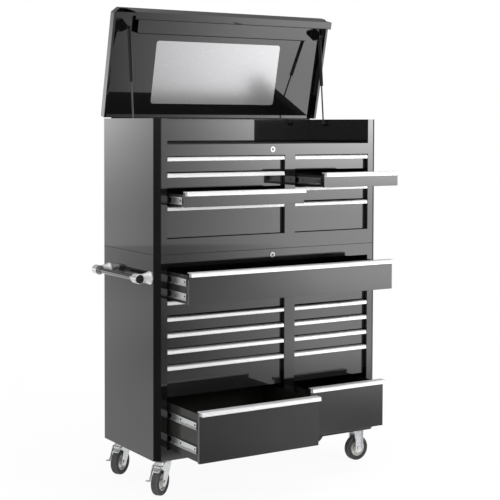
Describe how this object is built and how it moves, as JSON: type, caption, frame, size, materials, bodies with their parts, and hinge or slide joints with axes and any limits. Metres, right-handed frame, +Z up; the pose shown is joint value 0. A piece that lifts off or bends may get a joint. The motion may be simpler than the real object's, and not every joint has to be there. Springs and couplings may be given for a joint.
{
  "type": "rolling tool cabinet",
  "caption": "Rolling tool cabinet with a top chest: hinged lid over an open till, drawers on ball slides, push handle, braked swivel casters and fixed casters.",
  "frame": {"origin": "on the floor, below the middle of the carcass in width and depth", "axes": "+X to the right seen from the front, +Y to the back, +Z up"},
  "size_m": [1.335, 0.8864, 2.2607],
  "materials": {
    "paint": "gloss",
    "zinc": "zinc plated",
    "steel": "satin",
    "brushed": "brushed",
    "chrome": "polished",
    "tyre": "matt"
  },
  "bodies": {
    "carcass": {"cabinet_left_side": "paint", "cabinet_right_side": "paint", "cabinet_back": "paint", "cabinet_top": "paint", "cabinet_floor": "paint", "cabinet_frame": "paint", "cabinet_slides": "zinc", "chest_left_side": "paint", "chest_right_side": "paint", "chest_back": "paint", "chest_base": "paint", "chest_frame": "paint", "chest_till_floor": "paint", "chest_slides": "zinc", "chest_hinge_leaf": "steel", "strut_foot_studs": "steel", "lock_housings": "chrome", "push_handle_bar": "chrome", "push_handle_brackets": "chrome", "swivel_plates": "zinc", "rigid_casters": "zinc"},
    "lid": {"lid_shell": "paint", "lid_badge": "brushed", "lid_hinge_leaf": "steel", "strut_head_brackets": "steel"},
    "strut_rod_left": {"strut_rod_left": "steel"},
    "strut_tube_left": {"strut_tube_left": "paint"},
    "strut_rod_right": {"strut_rod_right": "steel"},
    "strut_tube_right": {"strut_tube_right": "paint"},
    "chest_drawer_left_1": {"chest_drawer_left_1": "paint"},
    "chest_drawer_left_2": {"chest_drawer_left_2": "paint"},
    "chest_drawer_left_3": {"chest_drawer_left_3": "paint"},
    "chest_drawer_left_4": {"chest_drawer_left_4": "paint"},
    "chest_drawer_right_1": {"chest_drawer_right_1": "paint"},
    "chest_drawer_right_2": {"chest_drawer_right_2": "paint"},
    "chest_drawer_right_3": {"chest_drawer_right_3": "paint"},
    "chest_drawer_right_4": {"chest_drawer_right_4": "paint"},
    "drawer_wide": {"drawer_wide": "paint"},
    "drawer_left_1": {"drawer_left_1": "paint"},
    "drawer_left_2": {"drawer_left_2": "paint"},
    "drawer_left_3": {"drawer_left_3": "paint"},
    "drawer_left_4": {"drawer_left_4": "paint"},
    "drawer_left_5": {"drawer_left_5": "paint"},
    "drawer_left_6": {"drawer_left_6": "paint"},
    "drawer_right_1": {"drawer_right_1": "paint"},
    "drawer_right_2": {"drawer_right_2": "paint"},
    "drawer_right_3": {"drawer_right_3": "paint"},
    "drawer_right_4": {"drawer_right_4": "paint"},
    "drawer_right_5": {"drawer_right_5": "paint"},
    "drawer_right_6": {"drawer_right_6": "paint"},
    "chest_lock_plug": {"chest_lock_plug": "chrome"},
    "cabinet_lock_plug": {"cabinet_lock_plug": "chrome"},
    "swivel_fork_front": {"swivel_fork_front": "zinc"},
    "wheel_front_left": {"wheel_front_left": "tyre"},
    "brake_pedal_front": {"brake_pedal_front": "zinc"},
    "swivel_fork_rear": {"swivel_fork_rear": "zinc"},
    "wheel_rear_left": {"wheel_rear_left": "tyre"},
    "brake_pedal_rear": {"brake_pedal_rear": "zinc"},
    "wheel_front_right": {"wheel_front_right": "tyre"},
    "wheel_rear_right": {"wheel_rear_right": "tyre"}
  },
  "joints": [
    {"name": "lid_hinge", "type": "hinge", "parent": "carcass", "child": "lid", "pos_m": [0, 0.2703, 1.7285], "axis": [-1, 0, 0], "range_deg": [-77, 0]},
    {"name": "strut_foot_left", "type": "hinge", "parent": "carcass", "child": "strut_rod_left", "pos_m": [-0.553, 0.0975, 1.703], "axis": [-1, 0, 0], "range_deg": [-96.13, 0]},
    {"name": "strut_stroke_left", "type": "slide", "parent": "strut_rod_left", "child": "strut_tube_left", "axis": [0, 0.0924, 0.9957], "range_m": [-0.18205, 0]},
    {"name": "strut_foot_right", "type": "hinge", "parent": "carcass", "child": "strut_rod_right", "pos_m": [0.553, 0.0975, 1.703], "axis": [-1, 0, 0], "range_deg": [-96.13, 0]},
    {"name": "strut_stroke_right", "type": "slide", "parent": "strut_rod_right", "child": "strut_tube_right", "axis": [0, 0.0924, 0.9957], "range_m": [-0.18205, 0]},
    {"name": "chest_drawer_left_1_slide", "type": "slide", "parent": "carcass", "child": "chest_drawer_left_1", "axis": [0, -1, 0], "range_m": [0, 0.38]},
    {"name": "chest_drawer_left_2_slide", "type": "slide", "parent": "carcass", "child": "chest_drawer_left_2", "axis": [0, -1, 0], "range_m": [0, 0.38]},
    {"name": "chest_drawer_left_3_slide", "type": "slide", "parent": "carcass", "child": "chest_drawer_left_3", "axis": [0, -1, 0], "range_m": [-0.184, 0.196]},
    {"name": "chest_drawer_left_4_slide", "type": "slide", "parent": "carcass", "child": "chest_drawer_left_4", "axis": [0, -1, 0], "range_m": [0, 0.38]},
    {"name": "chest_drawer_right_1_slide", "type": "slide", "parent": "carcass", "child": "chest_drawer_right_1", "axis": [0, -1, 0], "range_m": [0, 0.38]},
    {"name": "chest_drawer_right_2_slide", "type": "slide", "parent": "carcass", "child": "chest_drawer_right_2", "axis": [0, -1, 0], "range_m": [-0.26, 0.12]},
    {"name": "chest_drawer_right_3_slide", "type": "slide", "parent": "carcass", "child": "chest_drawer_right_3", "axis": [0, -1, 0], "range_m": [0, 0.38]},
    {"name": "chest_drawer_right_4_slide", "type": "slide", "parent": "carcass", "child": "chest_drawer_right_4", "axis": [0, -1, 0], "range_m": [0, 0.38]},
    {"name": "drawer_wide_slide", "type": "slide", "parent": "carcass", "child": "drawer_wide", "axis": [0, -1, 0], "range_m": [-0.222, 0.158]},
    {"name": "drawer_left_1_slide", "type": "slide", "parent": "carcass", "child": "drawer_left_1", "axis": [0, -1, 0], "range_m": [0, 0.38]},
    {"name": "drawer_left_2_slide", "type": "slide", "parent": "carcass", "child": "drawer_left_2", "axis": [0, -1, 0], "range_m": [0, 0.38]},
    {"name": "drawer_left_3_slide", "type": "slide", "parent": "carcass", "child": "drawer_left_3", "axis": [0, -1, 0], "range_m": [0, 0.38]},
    {"name": "drawer_left_4_slide", "type": "slide", "parent": "carcass", "child": "drawer_left_4", "axis": [0, -1, 0], "range_m": [0, 0.38]},
    {"name": "drawer_left_5_slide", "type": "slide", "parent": "carcass", "child": "drawer_left_5", "axis": [0, -1, 0], "range_m": [0, 0.38]},
    {"name": "drawer_left_6_slide", "type": "slide", "parent": "carcass", "child": "drawer_left_6", "axis": [0, -1, 0], "range_m": [-0.314, 0.066]},
    {"name": "drawer_right_1_slide", "type": "slide", "parent": "carcass", "child": "drawer_right_1", "axis": [0, -1, 0], "range_m": [0, 0.38]},
    {"name": "drawer_right_2_slide", "type": "slide", "parent": "carcass", "child": "drawer_right_2", "axis": [0, -1, 0], "range_m": [0, 0.38]},
    {"name": "drawer_right_3_slide", "type": "slide", "parent": "carcass", "child": "drawer_right_3", "axis": [0, -1, 0], "range_m": [0, 0.38]},
    {"name": "drawer_right_4_slide", "type": "slide", "parent": "carcass", "child": "drawer_right_4", "axis": [0, -1, 0], "range_m": [0, 0.38]},
    {"name": "drawer_right_5_slide", "type": "slide", "parent": "carcass", "child": "drawer_right_5", "axis": [0, -1, 0], "range_m": [0, 0.38]},
    {"name": "drawer_right_6_slide", "type": "slide", "parent": "carcass", "child": "drawer_right_6", "axis": [0, -1, 0], "range_m": [-0.158, 0.222]},
    {"name": "chest_lock_turn", "type": "hinge", "parent": "carcass", "child": "chest_lock_plug", "pos_m": [0, -0.2675, 1.5835], "axis": [0, -1, 0], "range_deg": [0, 90]},
    {"name": "cabinet_lock_turn", "type": "hinge", "parent": "carcass", "child": "cabinet_lock_plug", "pos_m": [0, -0.2675, 1.082], "axis": [0, -1, 0], "range_deg": [0, 90]},
    {"name": "swivel_front", "type": "hinge", "parent": "carcass", "child": "swivel_fork_front", "pos_m": [-0.545, -0.1955, 0], "axis": [0, 0, 1], "continuous": true},
    {"name": "roll_front_left", "type": "hinge", "parent": "swivel_fork_front", "child": "wheel_front_left", "pos_m": [-0.5765, -0.21675, 0.0625], "axis": [0.5592, -0.829, 0], "continuous": true},
    {"name": "brake_front", "type": "hinge", "parent": "swivel_fork_front", "child": "brake_pedal_front", "pos_m": [-0.59474, -0.22905, 0.1335], "axis": [0.5592, -0.829, 0], "range_deg": [0, 4.3]},
    {"name": "swivel_rear", "type": "hinge", "parent": "carcass", "child": "swivel_fork_rear", "pos_m": [-0.545, 0.2145, 0], "axis": [0, 0, 1], "continuous": true},
    {"name": "roll_rear_left", "type": "hinge", "parent": "swivel_fork_rear", "child": "wheel_rear_left", "pos_m": [-0.57757, 0.19493, 0.0625], "axis": [0.515, -0.8572, 0], "continuous": true},
    {"name": "brake_rear", "type": "hinge", "parent": "swivel_fork_rear", "child": "brake_pedal_rear", "pos_m": [-0.59643, 0.1836, 0.1335], "axis": [0.515, -0.8572, 0], "range_deg": [0, 4.3]},
    {"name": "roll_front_right", "type": "hinge", "parent": "carcass", "child": "wheel_front_right", "pos_m": [0.563, -0.1895, 0.0625], "axis": [0, 1, 0], "continuous": true},
    {"name": "roll_rear_right", "type": "hinge", "parent": "carcass", "child": "wheel_rear_right", "pos_m": [0.563, 0.1895, 0.0625], "axis": [0, 1, 0], "continuous": true}
  ],
  "couplings": [
    {"joint": "strut_foot_left", "follows": "lid_hinge", "ratio": 1.2483},
    {"joint": "strut_stroke_left", "follows": "lid_hinge", "m_per_rad": 0.13545},
    {"joint": "strut_foot_right", "follows": "lid_hinge", "ratio": 1.2483},
    {"joint": "strut_stroke_right", "follows": "lid_hinge", "m_per_rad": 0.13545}
  ]
}
